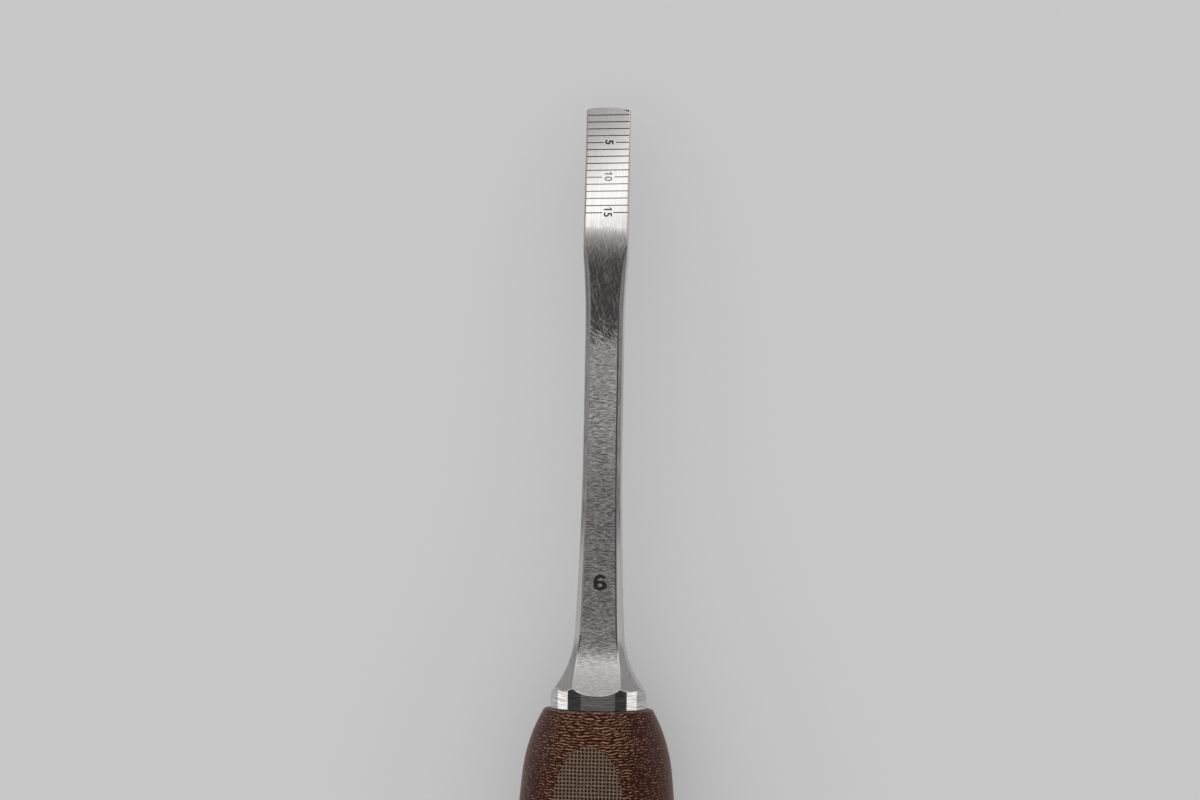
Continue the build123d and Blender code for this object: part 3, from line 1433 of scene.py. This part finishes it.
    def surface(self) -> np.ndarray:
        """Points of the blade's closed surface.

        Each ring is a section of the ground blank. Near the tip the rings are bent back by the edge's
        set-back, which fades out over a short reach, and their thickness follows the bent reach.

        Returns:
            Array (rows, columns, 3) in millimetres round the axis, with Y along it and the blade unturned.
        """
        reach, radius, share = self.rows()
        kinds = [Facet.SIDE, Facet.CORNER, Facet.BROAD, Facet.CORNER] * 2
        angles = [45.0 * number for number in range(8)]
        beyond = reach > self.flare_end
        offsets = [np.where(beyond, CLEAR_OF_BLANK, self.offset(kind, reach)) for kind in kinds]
        section = FacetedBlank(angles, offsets, radius, self.edge_break, FACE_STEPS, EDGE_STEPS).sections()
        x = section[..., 0]
        z = section[..., 1]
        fade = np.clip(1.0 - reach / self.tip_bend_reach, 0.0, 1.0)[:, None]
        bent = reach[:, None] + self.tip_set_back(x) * fade
        flat = self.offset(Facet.BROAD, reach)[:, None]
        near_tip = (reach < self.tip_bend_reach)[:, None]
        z = np.where(near_tip, z * self.offset(Facet.BROAD, bent) / flat, z)
        z = z * share[:, None]
        return np.stack([x, TOTAL_LENGTH / 2.0 - bent, z], axis=-1)

    def finishes(self, columns: int) -> np.ndarray:
        """Finish of each quad.

        Each eighth of a ring holds the points of one facet and then those of the edge after it. Every
        second facet is a corner. The edge after each broad facet, which shows on the face's left, is
        rougher up to the neck, with its colour painted darker as painted shade. Towards the collar the
        edges take the brushed finish.

        Args:
            columns: Points in each ring.

        Returns:
            One number for each quad.
        """
        eighth = np.arange(columns) // (columns // 8)
        place = np.arange(columns) % (columns // 8)
        reach = self.rows()[0][:-1, None]
        facet = np.where(eighth % 2 == 1, BladeFinish.CORNER, BladeFinish.BRUSHED)
        dull = (eighth % 4 == 2)[None, :] & (reach < self.dull_edge_end)
        edge = np.where(dull, BladeFinish.DULL_EDGE, BladeFinish.BRIGHT_EDGE)
        edge = np.where(reach > self.edge_end, BladeFinish.BRUSHED, edge)
        ring = np.where(place < FACE_STEPS + 1, facet, edge)
        turned = np.where(reach < BLADE_REACH - 0.01, BladeFinish.BRUSHED, BladeFinish.TANG)
        return np.where(reach < self.flare_end, ring, turned).reshape(-1)

    def build(self) -> bpy.types.Object:
        """Make the blade, turned a little round its axis as it stands in the handle.

        Returns:
            The piece.
        """
        points = self.surface()
        rows, columns = points.shape[:2]
        place = turned_and_lifted(points.reshape(-1, 3))
        return mesh_piece("ground_blade", place, grid_faces(rows, columns), finishes=self.finishes(columns))

    def dress(self, piece: bpy.types.Object) -> None:
        """Give the blade its steels.

        Args:
            piece: The blade.
        """
        # The corner facets are ground lengthwise, and their steel is painted darker than the broad faces' as
        # painted shade, for the darker reflections they show
        corner = GroundSteel(
            light=(0.4, 0.392, 0.387, 1.0),
            deep=(0.29, 0.285, 0.282, 1.0),
            contrast=1.12,
            brushing=Brushing.LENGTHWISE,
        )
        # Rougher copy of the polished edge, its colour painted darker as painted shade on the face's left
        # edges
        dull = PolishedEdge(colour=(0.5, 0.49, 0.485, 1.0), roughness=0.42)
        steels = {
            BladeFinish.BRUSHED: GroundSteel().make(),
            BladeFinish.CORNER: corner.make("ground_corners_painted_shade"),
            BladeFinish.BRIGHT_EDGE: PolishedEdge().make(),
            BladeFinish.TANG: TurnedSteel().make("riveted_steel"),
            BladeFinish.DULL_EDGE: dull.make("dull_shaded_edge"),
        }
        give_finishes(piece, [steels[number] for number in BladeFinish], "blade")


@dataclass(frozen=True)
class PlainNumber:
    """A number beside its line on the blade's face. Lengths are millimetres.

    Attributes:
        text: The number.
        reach: Reach of its middle.
        x: Its middle across the blade.
        height: Height of the figures.
        width: Width of the whole number.
        bold: How far the strokes are thickened, as a share of the letter size.
        gap: Where its line leaves off for it, and where the line goes on.
    """

    text: str
    reach: float
    x: float
    height: float
    width: float
    bold: float
    gap: tuple[float, float]

    def outline(self) -> tuple[np.ndarray, list]:
        """Flat figures in letter units.

        Returns:
            Points (x, y, z) and faces as lists.
        """
        curve = bpy.data.curves.new("digits", "FONT")
        curve.body = self.text
        curve.resolution_u = 6
        curve.offset = self.bold
        holder = bpy.data.objects.new("digits", curve)
        bpy.context.scene.collection.objects.link(holder)
        bpy.context.view_layer.update()
        flat = bpy.data.meshes.new_from_object(holder)
        values = np.empty(len(flat.vertices) * 3)
        flat.vertices.foreach_get("co", values)
        faces = [list(polygon.vertices) for polygon in flat.polygons]
        bpy.data.objects.remove(holder)
        bpy.data.curves.remove(curve)
        bpy.data.meshes.remove(flat)
        return values.reshape(-1, 3), faces

    def flagged(self, values: np.ndarray, faces: list) -> np.ndarray:
        """Add the slanting flag to the top of a first figure 1.

        Args:
            values: Points of the figures.
            faces: Their faces, which the flag's face is added to.

        Returns:
            The points with the flag's four corners.
        """
        low = values.min(axis=0)
        size = values.max(axis=0) - low
        flag = np.array([[0.02, 1.0], [0.02, 0.84], [-0.2, 0.6], [-0.2, 0.74]])
        corners = np.zeros((4, 3))
        corners[:, :2] = low[:2] + flag * size[1]
        count = len(values)
        faces.append([count, count + 1, count + 2, count + 3])
        return np.concatenate([values, corners])

    def laid(self, blade: GroundBlade, film: float) -> tuple[np.ndarray, list]:
        """Lay the number on the face, its top turned a quarter from the tip towards +X.

        Args:
            blade: The blade.
            film: Height of the mark above the face.

        Returns:
            Points (x, y, z) round the axis, and faces as lists.
        """
        values, faces = self.outline()
        low = values.min(axis=0)
        high = values.max(axis=0)
        if self.text.startswith("1"):
            values = self.flagged(values, faces)
        quarter = math.pi / 2.0
        u = ((values[:, 0] - low[0]) / (high[0] - low[0]) - 0.5) * self.width
        v = ((values[:, 1] - low[1]) / (high[1] - low[1]) - 0.5) * self.height
        across = self.x + u * math.cos(quarter) + v * math.sin(quarter)
        r = self.reach - (-u * math.sin(quarter) + v * math.cos(quarter))
        z = blade.face_height(r) + film
        return np.stack([across, TOTAL_LENGTH / 2.0 - r, z], axis=-1), faces


@dataclass(frozen=True)
class BoldSix:
    """The blade's width as a bold plain 6, upright towards the tip. Lengths are millimetres.

    Each band lies between two ellipses and is given by the height of its middle, the outer half width
    and half height, the inner ones, all as shares of the figure's size, and its first and last angle in
    degrees: a bowl with a small counter, and a stroke bent over it.
    """

    reach: float = 66.4
    x: float = 0.11
    height: float = 2.17
    width: float = 1.88
    steps: int = 49
    bands: tuple = (
        (-0.19, 0.5, 0.31, 0.17, 0.12, 0.0, 360.0),
        (0.0, 0.5, 0.5, 0.22, 0.29, 36.0, 205.0),
    )

    def laid(self, blade: GroundBlade, film: float) -> tuple[np.ndarray, list]:
        """Lay the figure on the face.

        At an angle t a point of an ellipse is its centre plus (a cos t, b sin t).

        Args:
            blade: The blade.
            film: Height of the mark above the face.

        Returns:
            Points (x, y, z) round the axis, and faces as lists.
        """
        points = []
        faces = []
        for order, (centre, a, b, inner_a, inner_b, first_angle, last_angle) in enumerate(self.bands):
            t = np.radians(np.linspace(first_angle, last_angle, self.steps))
            u = np.concatenate([a * np.cos(t), inner_a * np.cos(t)])
            v = centre + np.concatenate([b * np.sin(t), inner_b * np.sin(t)])
            across = self.x + u * self.width
            r = self.reach - v * self.height
            z = blade.face_height(r) + film * (1.0 + 0.3 * order)
            first = self.steps * 2 * order + np.arange(self.steps - 1)
            points.append(np.stack([across, TOTAL_LENGTH / 2.0 - r, z], axis=-1))
            faces.append(np.stack([first, first + 1, first + 1 + self.steps, first + self.steps], axis=-1))
        return np.concatenate(points), np.concatenate(faces).tolist()


@dataclass
class Graduations:
    """Millimetre lines and plain numbers on the blade's face, as thin raised films.

    Sizes are millimetres. The numbers are kept by the number of their line.
    """

    blade: GroundBlade
    first_reach: float = 1.08
    pitch: float = 1.0
    count: int = 15
    last_even: int = 9
    late_shift: float = 0.15
    lean: float = -0.021
    line_width: float = 0.14
    film: float = 0.008
    left_end: float = -2.93
    right_end: float = 2.96
    points_along: int = 9

    def numbers(self) -> dict[int, PlainNumber]:
        """The numbers on the face.

        Returns:
            Each number by its line.
        """
        return {
            5: PlainNumber("5", 5.04, 0.18, 1.15, 0.68, 0.035, (-0.6, 1.1)),
            10: PlainNumber("10", 10.1, 0.17, 1.09, 1.1, 0.012, (-0.72, 1.01)),
            15: PlainNumber("15", 15.25, 0.21, 1.16, 1.16, 0.022, (-0.57, 0.97)),
        }

    def line_reach(self, number: int) -> float:
        """Reach of a line, at an even pitch with a shift that grows as a square towards the last one."""
        late = max(number - self.last_even, 0) / (self.count - self.last_even)
        return self.first_reach + (number - 1) * self.pitch + self.late_shift * late**2

    def bar(self, reach: float, left: float, right: float) -> tuple[np.ndarray, list]:
        """One line across the face as a grid of two rows. Its reach changes by the lean with x.

        Args:
            reach: Where it lies.
            left: Its end towards -X.
            right: Its end towards +X.

        Returns:
            Points (x, y, z) round the axis, and faces as lists.
        """
        count = self.points_along
        x = np.linspace(left, right, count)[None, :].repeat(2, axis=0)
        half = self.line_width / 2.0
        r = np.array([[reach - half], [reach + half]]) + self.lean * x
        z = self.blade.face_height(r) + self.film
        points = np.stack([x, TOTAL_LENGTH / 2.0 - r, z], axis=-1).reshape(-1, 3)
        column = np.arange(count - 1)
        faces = np.stack([column, column + count, column + count + 1, column + 1], axis=-1)
        return points, faces.tolist()

    def runs(self) -> list:
        """All lines, then the numbers, then the bold 6.

        Returns:
            Pairs of points and faces.
        """
        numbers = self.numbers()
        runs = []
        for number in range(1, self.count + 1):
            reach = self.line_reach(number)
            if number in numbers:
                left, right = numbers[number].gap
                runs.append(self.bar(reach, self.left_end, left))
                runs.append(self.bar(reach, right, self.right_end))
            else:
                runs.append(self.bar(reach, self.left_end, self.right_end))
        runs.extend(plain.laid(self.blade, self.film) for plain in numbers.values())
        runs.append(BoldSix().laid(self.blade, self.film))
        return runs

    def build(self) -> bpy.types.Object:
        """Make all lines and numbers as one piece whose faces all look up.

        Returns:
            The piece.
        """
        points = []
        faces = []
        start = 0
        for part_points, part_faces in self.runs():
            points.append(part_points)
            faces.extend([[index + start for index in face] for face in part_faces])
            start += len(part_points)
        place = turned_and_lifted(np.concatenate(points)) * METRES_PER_MM
        mesh = bpy.data.meshes.new("graduations")
        mesh.from_pydata(place.tolist(), [], faces)
        piece = bpy.data.objects.new("graduations", mesh)
        bpy.context.scene.collection.objects.link(piece)
        normals = np.empty(len(mesh.polygons) * 3)
        mesh.polygons.foreach_get("normal", normals)
        down = np.nonzero(normals.reshape(-1, 3)[:, 2] < 0.0)[0]
        if len(down):
            work = bmesh.new()
            work.from_mesh(mesh)
            work.faces.ensure_lookup_table()
            bmesh.ops.reverse_faces(work, faces=[work.faces[i] for i in down])
            work.to_mesh(mesh)
            work.free()
        return piece

    def dress(self, piece: bpy.types.Object) -> None:
        """Give the marks their dark skin."""
        give_finishes(piece, [MarkedSteel().make()])


@dataclass
class BarrelHandle:
    """Laminate handle, turned to a barrel and flatted front and back. Sizes are millimetres."""

    top_radius: float = 7.45
    top_edge: float = 0.35
    shoulder_radius: float = 10.22
    shoulder_reach: float = 8.5
    swell_radius: float = 10.95
    swell_reach: float = 22.0
    butt_radius: float = 9.0
    butt_edge: float = 0.6
    bore_radius: float = 3.05
    flat_steps: int = 22
    barrel_steps: int = 60

    def outer(self, depth: np.ndarray) -> np.ndarray:
        """Radius of the barrel before its flats.

        From the swell the radius falls along circular arcs: one to the shoulder, an ogive that goes on
        from it smoothly to the top, and a long one to the butt.

        Args:
            depth: Distance from the handle's top.

        Returns:
            The radius at each depth.
        """
        length = self.swell_reach - self.shoulder_reach
        fall = self.swell_radius - self.shoulder_radius
        upper = self.swell_radius - easing(self.swell_reach - depth, length, fall)
        lean = 2.0 * math.atan(fall / length)
        drop = self.shoulder_radius - self.top_radius
        chord = math.atan2(drop, self.shoulder_reach)
        radius = math.hypot(drop, self.shoulder_reach) / (2.0 * math.sin(chord - lean))
        sine = math.sin(lean) + np.clip(self.shoulder_reach - depth, 0.0, self.shoulder_reach) / radius
        ogive = self.shoulder_radius - radius * (math.cos(lean) - np.sqrt(1.0 - sine**2))
        long_fall = self.swell_radius - self.butt_radius
        long_arc = easing(depth - self.swell_reach, HANDLE_LENGTH - self.swell_reach, long_fall)
        top = np.where(depth < self.shoulder_reach, ogive, upper)
        return np.where(depth < self.swell_reach, top, self.swell_radius - long_arc)

    def profile(self) -> np.ndarray:
        """Closed profile, from the bore's top over the outside and back through the bore.

        Its rings are close together where the flats start and end, so that their outline is smooth.

        Returns:
            Array of (radius, reach) rows.
        """
        depths = chained(
            np.linspace(0.9, 3.6, 14),
            np.linspace(3.6, 7.2, 72),
            np.linspace(7.2, 22.0, 34),
            np.linspace(22.0, 84.0, 60),
            np.linspace(84.0, 101.0, 110),
            np.linspace(101.0, 103.6, 8),
        )
        outside = np.stack([self.outer(depths), depths], axis=-1)
        top = float(self.outer(np.array([0.0]))[0])
        butt = float(self.outer(np.array([HANDLE_LENGTH]))[0])
        bore = self.bore_radius
        head = rounded_profile(
            [(bore, 0.02), (bore + 0.02, 0.0), (top - 1.0, 0.0), (top, 0.0), tuple(outside[0])],
            [0.0, 0.0, 0.0, self.top_edge, 0.0],
        )
        end = HANDLE_LENGTH
        foot = rounded_profile(
            [tuple(outside[-1]), (butt, end), (butt - 1.5, end), (bore, end)],
            [0.0, self.butt_edge, 0.0, 0.0],
        )
        inside = np.array([(bore, 80.0), (bore, 40.0)])
        run = np.concatenate([head, outside[1:-1], foot, inside])
        run[:, 1] += BLADE_REACH
        return run

    def build(self) -> bpy.types.Object:
        """Make the handle as one closed surface with its bore.

        Returns:
            The piece.
        """
        profile = self.profile()
        radius = profile[:, 0]
        flats = [np.full(len(radius), FLAT_DISTANCE)] * 2
        blank = FacetedBlank([90.0, 270.0], flats, radius, 0.0, self.flat_steps, self.barrel_steps)
        section = blank.sections()
        y = np.broadcast_to((TOTAL_LENGTH / 2.0 - profile[:, 1])[:, None], section.shape[:2])
        points = np.stack([section[..., 0], y, section[..., 1] + FLAT_DISTANCE], axis=-1)
        rows, columns = points.shape[:2]
        quads = grid_faces(rows, columns, closed_rows=True)
        return mesh_piece("laminate_handle", points.reshape(-1, 3), quads)

    def dress(self, piece: bpy.types.Object) -> None:
        """Give the handle its laminate."""
        give_finishes(piece, [CanvasLaminate().make()], "handle")


@dataclass
class StrikingCap:
    """Turned steel disc on the butt, countersunk for the tang's riveted end. Sizes are millimetres."""

    radius: float = 8.8
    front_edge: float = 0.3
    strike_edge: float = 1.2
    bore_radius: float = 3.05
    sink_radius: float = 4.25
    sink_height: float = 1.4
    columns: int = 128

    def build(self) -> bpy.types.Object:
        """Make the cap: a closed profile carried round the axis.

        A point of the profile at a radius r and an angle t lies at (r cos t, r sin t) across the axis.

        Returns:
            The piece.
        """
        top = BLADE_REACH + HANDLE_LENGTH
        end = TOTAL_LENGTH
        profile = rounded_profile(
            [
                (self.bore_radius, top),
                (self.radius - self.front_edge, top),
                (self.radius, top + self.front_edge),
                (self.radius, end),
                (self.sink_radius + 0.1, end),
                (self.sink_radius, end),
                (self.bore_radius, end - self.sink_height),
            ],
            [0.0, 0.03, 0.03, self.strike_edge, 0.0, 0.0, 0.0],
            steps=10,
        )
        angle = np.linspace(0.0, 2.0 * math.pi, self.columns, endpoint=False)
        x = profile[:, 0:1] * np.cos(angle)
        z = profile[:, 0:1] * np.sin(angle) + FLAT_DISTANCE
        y = np.broadcast_to(TOTAL_LENGTH / 2.0 - profile[:, 1:2], x.shape)
        points = np.stack([x, y, z], axis=-1).reshape(-1, 3)
        return mesh_piece("striking_disc", points, grid_faces(len(profile), self.columns, closed_rows=True))

    def dress(self, piece: bpy.types.Object) -> None:
        """Give the cap its turned steel."""
        give_finishes(piece, [TurnedSteel().make()], "striking_cap")


# Studio


@dataclass
class PhotoCamera:
    """Pinhole camera at the photograph's viewing angle. Angles are radians.

    It looks at a point of the axis from the given distance. The flat's normal is swung to the camera's
    left, the tip leans away by the tilt, and the picture is rolled by the roll.
    """

    focal_pixels: float = 2000.0
    image_width: float = 1200.0
    sensor_mm: float = 36.0
    distance_mm: float = 277.8
    aim_reach_mm: float = 41.2
    side_shift_mm: float = 0.53
    tilt: float = math.radians(4.5)
    roll: float = 0.0178
    swing: float = math.radians(7.6)
    clip_start: float = 0.005

    def place(self) -> Matrix:
        """Where the camera stands and how it is turned.

        Returns:
            Its matrix, with its right, its up and its back as columns.
        """
        right = np.array([1.0, 0.0, 0.0])
        tip = np.array([0.0, 1.0, 0.0])
        up = np.array([0.0, 0.0, 1.0])
        middle = math.cos(self.swing) * up + math.sin(self.swing) * right
        back = math.cos(self.tilt) * middle - math.sin(self.tilt) * tip
        up_plain = math.cos(self.tilt) * tip + math.sin(self.tilt) * middle
        right_plain = math.cos(self.swing) * right - math.sin(self.swing) * up
        x_axis = math.cos(self.roll) * right_plain + math.sin(self.roll) * up_plain
        y_axis = -math.sin(self.roll) * right_plain + math.cos(self.roll) * up_plain
        aim = np.array([0.0, TOTAL_LENGTH / 2.0 - self.aim_reach_mm, FLAT_DISTANCE])
        spot = (aim + self.distance_mm * back - self.side_shift_mm * x_axis) * METRES_PER_MM
        rows = [list(row) + [value] for row, value in zip(np.stack([x_axis, y_axis, back], axis=1), spot)]
        return Matrix(rows + [[0.0, 0.0, 0.0, 1.0]])

    def build(self) -> bpy.types.Object:
        """Add the camera and make it the scene's own.

        Returns:
            The camera.
        """
        data = bpy.data.cameras.new("camera")
        data.sensor_width = self.sensor_mm
        data.sensor_fit = "HORIZONTAL"
        data.lens = self.focal_pixels / self.image_width * data.sensor_width
        data.clip_start = self.clip_start
        camera = bpy.data.objects.new("camera", data)
        camera.matrix_world = self.place()
        bpy.context.scene.collection.objects.link(camera)
        bpy.context.scene.camera = camera
        return camera


@dataclass
class WhiteTent:
    """Even white tent round the set, dimmer beyond the tip and at both sides.

    The dimmed parts are given by where they start and end along a direction's Y, and along its X to
    either side.
    """

    strength: float = 1.02
    far_dimming: float = 0.66
    far_start: float = 0.55
    far_end: float = 0.95
    side_dimming: float = 0.36
    side_start: float = 0.93
    side_end: float = 0.96
    white: Colour = (1.0, 1.0, 1.0, 1.0)

    def build(self) -> None:
        """Set up the world."""
        world = bpy.data.worlds.new("tent")
        world.use_nodes = True
        world.cycles.sampling_method = "NONE"
        bench = NodeBench(world.node_tree)
        x, y, _ = bench.xyz(bench.node("ShaderNodeTexCoord").outputs["Generated"])
        far = bench.ranged(y, self.far_start, self.far_end, 1.0, self.far_dimming)
        sideways = bench.math("ABSOLUTE", x)
        side = bench.ranged(sideways, self.side_start, self.side_end, 1.0, self.side_dimming)
        background = world.node_tree.nodes["Background"]
        background.inputs["Color"].default_value = self.white
        bench.link(bench.times(bench.times(far, side), self.strength), background.inputs["Strength"])
        bpy.context.scene.world = world


@dataclass
class MirrorCards:
    """Plain glowing sheets that only the polished steel mirrors. Lengths are metres.

    Attributes:
        cloth: Cloth of the dark card overhead.
        card_left: Angle from straight up at which the dark card ends on the left, in degrees.
        card_right: The same on the right.
        glints: Name, X, lower and upper height of the white sheets beside the collar.
        glint_y: Where they start and end along the instrument.
        haze_x: Where the dim sheet above the collar starts and ends across the instrument.
        haze_y: Where it starts and ends along the instrument.
        haze_height: Its height.
    """

    cloth: CardCloth = CardCloth()
    card_left: float = 72.2
    card_right: float = 79.0
    glints: tuple = (("left_glint", -0.029, 0.0059, 0.0232), ("right_glint", 0.023, 0.0057, 0.0178))
    glint_y: tuple[float, float] = (0.0095, 0.0175)
    haze_x: tuple[float, float] = (-0.0087, 0.0146)
    haze_y: tuple[float, float] = (0.0124, 0.0168)
    haze_height: float = 0.026

    def sheet(self, name: str, corners: list, material: bpy.types.Material) -> None:
        """Make one sheet that the camera, diffuse rays and shadows don't see.

        Args:
            name: Name of the sheet.
            corners: Its four corners.
            material: Its finish.
        """
        quad = np.array([[0, 1, 2, 3]])
        sheet = mesh_piece(name, np.array(corners) / METRES_PER_MM, quad, smooth=False)
        sheet.data.materials.append(material)
        sheet.visible_camera = False
        sheet.visible_diffuse = False
        sheet.visible_shadow = False

    def level_sheet(self, name: str, x: tuple, y: tuple, height: float, material: bpy.types.Material) -> None:
        """Make a level sheet between two X and two Y, at a height."""
        corners = [(x[0], y[0], height), (x[1], y[0], height), (x[1], y[1], height), (x[0], y[1], height)]
        self.sheet(name, corners, material)

    def build(self) -> None:
        """Hang the dark card, set the glints beside the collar and the dim sheet above it."""
        height = self.cloth.height
        left = -height * math.tan(math.radians(self.card_left))
        right = height * math.tan(math.radians(self.card_right))
        near = self.cloth.foot_y + height * math.tan(math.radians(self.cloth.low))
        far = self.cloth.foot_y + height * math.tan(math.radians(self.cloth.high))
        self.level_sheet("dark_card", (left, right), (near, far), height, self.cloth.make())
        white = GlowingCard((1.0, 0.99, 0.985, 1.0), 1.3)
        start, end = self.glint_y
        for name, x, bottom, top in self.glints:
            corners = [(x, start, bottom), (x, end, bottom), (x, end, top), (x, start, top)]
            self.sheet(name, corners, white.make(name))
        haze = GlowingCard((0.17, 0.163, 0.163, 1.0)).make("collar_haze")
        self.level_sheet("collar_haze", self.haze_x, self.haze_y, self.haze_height, haze)


@dataclass
class Studio:
    """Tent, floor, mirror cards and camera."""

    floor_half_size: float = 4.0

    def floor(self) -> None:
        """Lay the floor that the instrument lies on."""
        size = self.floor_half_size / METRES_PER_MM
        corners = np.array([(-size, -size, 0.0), (size, -size, 0.0), (size, size, 0.0), (-size, size, 0.0)])
        floor = mesh_piece("floor", corners, np.array([[0, 1, 2, 3]]), smooth=False)
        floor.data.materials.append(FloorPaint().make())

    def build(self) -> None:
        """Set up colour handling, tent, floor, mirror cards and camera."""
        bpy.context.scene.view_settings.view_transform = "Standard"
        WhiteTent().build()
        self.floor()
        MirrorCards().build()
        PhotoCamera().build()


def main() -> None:
    """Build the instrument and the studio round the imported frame."""
    logging.basicConfig(level=logging.INFO, format="%(name)s: %(message)s")
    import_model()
    blade = GroundBlade()
    for assembly in (blade, Graduations(blade), BarrelHandle(), StrikingCap()):
        piece = assembly.build()
        assembly.dress(piece)
        LOG.info("%s: %d faces, %d finishes", piece.name, len(piece.data.polygons), len(piece.data.materials))
    Studio().build()
    LOG.info("studio: tent, floor, mirror cards and camera")
    LOG.info("sizes written")


if __name__ == "__main__":
    main()
